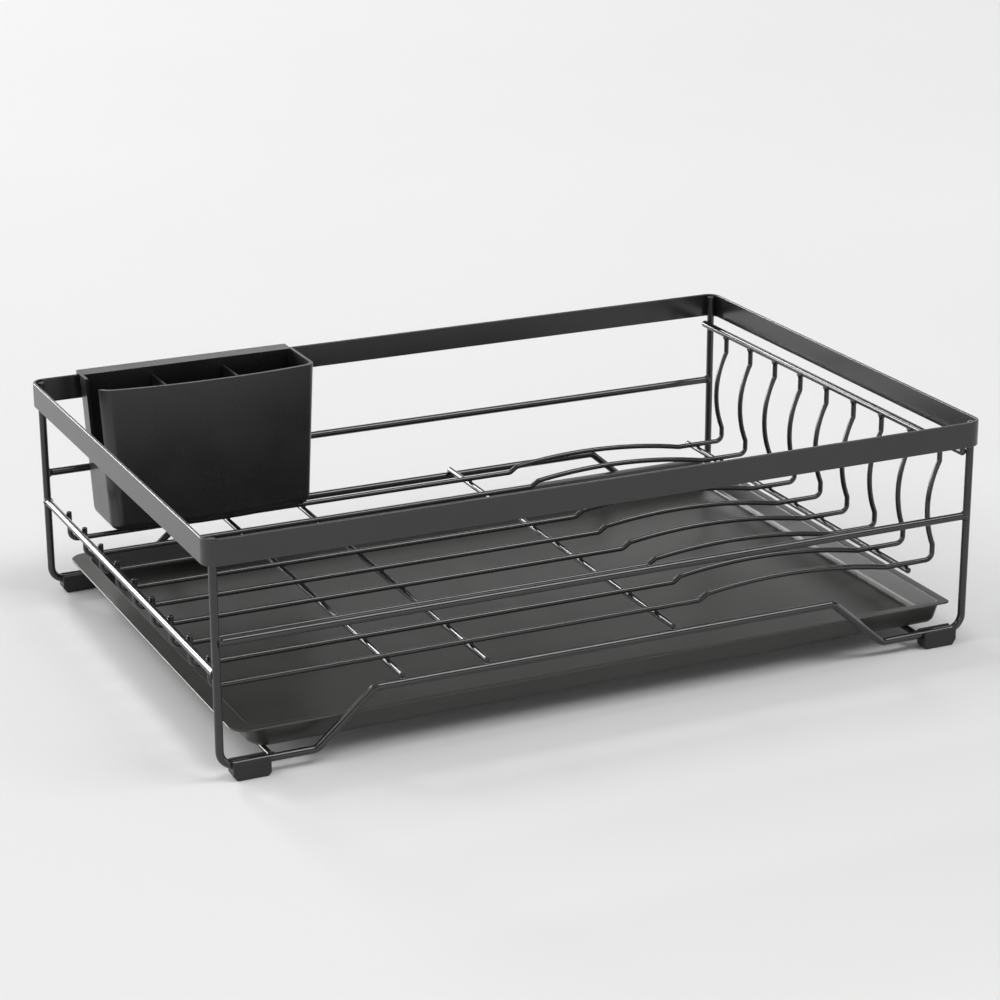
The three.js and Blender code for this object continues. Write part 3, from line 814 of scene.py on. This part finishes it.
def holder_ring(inset, z):
    """The outline at height z, drawn in by inset: a bowed front, and ends that lean in."""
    lean = HOLDER_TAPER * (1 - (z - holder_bottom) / (holder_top - holder_bottom))
    left, right_side = holder_low.x + lean + inset, holder_high.x - lean - inset
    front, back = holder_front + inset, holder_back - inset
    corner_y = front + HOLDER_BOW
    bow = []
    for k in range(BOW_STEPS + 1):
        t = BOW_START + (1 - 2 * BOW_START) * k / BOW_STEPS
        bow.append((left + (right_side - left) * t, corner_y - 4 * t * (1 - t) * HOLDER_BOW))
    corners = [
        (left, corner_y, HOLDER_FRONT_RADII[0]), *bow,
        (right_side, corner_y, HOLDER_FRONT_RADII[1]),
        (right_side, back, HOLDER_BACK_RADIUS), (left, back, HOLDER_BACK_RADIUS),
    ]
    flat = rounded(corners, closed=True, segments=HOLDER_CORNER_SEGMENTS)
    return [Vector((p.x, p.y, z)) for p in flat]


def floor_rings(inset, floor_z, steps=6):
    """Rings round the floor's edge, from the flat floor up to the wall."""
    rings = []
    for k in range(steps + 1):
        angle = math.pi / 2 * k / steps
        pull = HOLDER_FLOOR_RADIUS * (1 - math.sin(angle))
        rise = HOLDER_FLOOR_RADIUS * (1 - math.cos(angle))
        rings.append(holder_ring(inset + pull, floor_z + rise))
    return rings


# %% Holder solids
DIVIDERS = 2
DIVIDER_THICKNESS = 1.4 * MM
DIVIDER_DROP = 5 * MM
SLOT_WIDTH = 22.7 * MM
SLOT_DEPTH = 47 * MM
SLOT_FROM_BACK = 11.1 * MM
SLOT_STEPS = 24
CUT_MARGIN = 1 * MM


def box_shape(low, high):
    """The corners and faces of a box, for joining and cutting."""
    ring = [(low[0], low[1]), (high[0], low[1]), (high[0], high[1]), (low[0], high[1])]
    return skin([[(x, y, z) for x, y in ring] for z in (low[2], high[2])])


def combine(piece, tool_shape, operation):
    """Joins a solid to the piece or cuts it away, and keeps the result as plain mesh."""
    tool = make_object("tool", *tool_shape, holder_plastic)
    step = piece.modifiers.new("step", "BOOLEAN")
    step.operation, step.object, step.solver = operation, tool, "EXACT"
    result = bpy.data.meshes.new_from_object(
        piece.evaluated_get(bpy.context.evaluated_depsgraph_get()))
    piece.modifiers.clear()
    piece.data = result
    bpy.data.objects.remove(tool)


shell_rings = [
    *floor_rings(0, holder_bottom), holder_ring(0, holder_top),
    holder_ring(HOLDER_WALL, holder_top),
    *reversed(floor_rings(HOLDER_WALL, holder_bottom + HOLDER_WALL)),
]
holder = make_object("utensil_holder_moulding", *skin(shell_rings), holder_plastic)

root = HOLDER_WALL / 2
core_shape = skin([*floor_rings(root, holder_bottom + root), holder_ring(root, holder_top)])
for k in range(1, DIVIDERS + 1):
    x = holder_low.x + (holder_high.x - holder_low.x) * k / (DIVIDERS + 1)
    sheet = make_object("sheet", *box_shape(
        (x - DIVIDER_THICKNESS / 2, holder_front, holder_bottom),
        (x + DIVIDER_THICKNESS / 2, holder_back, holder_top - DIVIDER_DROP)), holder_plastic)
    combine(sheet, core_shape, "INTERSECT")
    sheet_shape = ([v.co.copy() for v in sheet.data.vertices],
                   [tuple(p.vertices) for p in sheet.data.polygons])
    bpy.data.objects.remove(sheet)
    combine(holder, sheet_shape, "UNION")

slot_r = SLOT_WIDTH / 2
slot_middle = holder_back - SLOT_FROM_BACK - slot_r
slot_outline = [(slot_middle + slot_r, holder_top + CUT_MARGIN),
                (slot_middle - slot_r, holder_top + CUT_MARGIN)]
for k in range(SLOT_STEPS + 1):
    angle = math.pi + math.pi * k / SLOT_STEPS
    slot_outline.append((slot_middle + slot_r * math.cos(angle),
                         holder_top - SLOT_DEPTH + slot_r + slot_r * math.sin(angle)))
slot_ends = (holder_low.x - CUT_MARGIN, holder_low.x + HOLDER_TAPER + HOLDER_WALL + CUT_MARGIN)
combine(holder, skin([[(x, y, z) for y, z in slot_outline] for x in slot_ends]), "DIFFERENCE")

lip_x0, lip_x1 = holder_low.x + HOLDER_BACK_RADIUS, holder_high.x - HOLDER_BACK_RADIUS
lip_inner = holder_high.y - LIP_THICKNESS
combine(holder, box_shape((lip_x0, holder_back - root, holder_top - LIP_THICKNESS),
                          (lip_x1, holder_high.y, holder_top)), "UNION")
combine(holder, box_shape((lip_x0, lip_inner, band_high.z - LIP_DROP),
                          (lip_x1, holder_high.y, holder_top - LIP_THICKNESS / 2)), "UNION")
print("holder solid has", len(holder.data.polygons), "faces before its edges are broken")

# %% Holder edges
HOLDER_EDGE = 0.5 * MM
HOLDER_EDGE_SEGMENTS = 3
HOLDER_EDGE_ANGLE = math.radians(38)  # above the turn between the facets of its bends
for polygon in holder.data.polygons:
    polygon.use_smooth = True
edges = holder.modifiers.new("broken_edges", "BEVEL")
edges.width, edges.segments = HOLDER_EDGE, HOLDER_EDGE_SEGMENTS
edges.angle_limit = HOLDER_EDGE_ANGLE
edges.use_clamp_overlap = True
hand_over(holder, "holder", "holder_plastic", "utensil_holder")
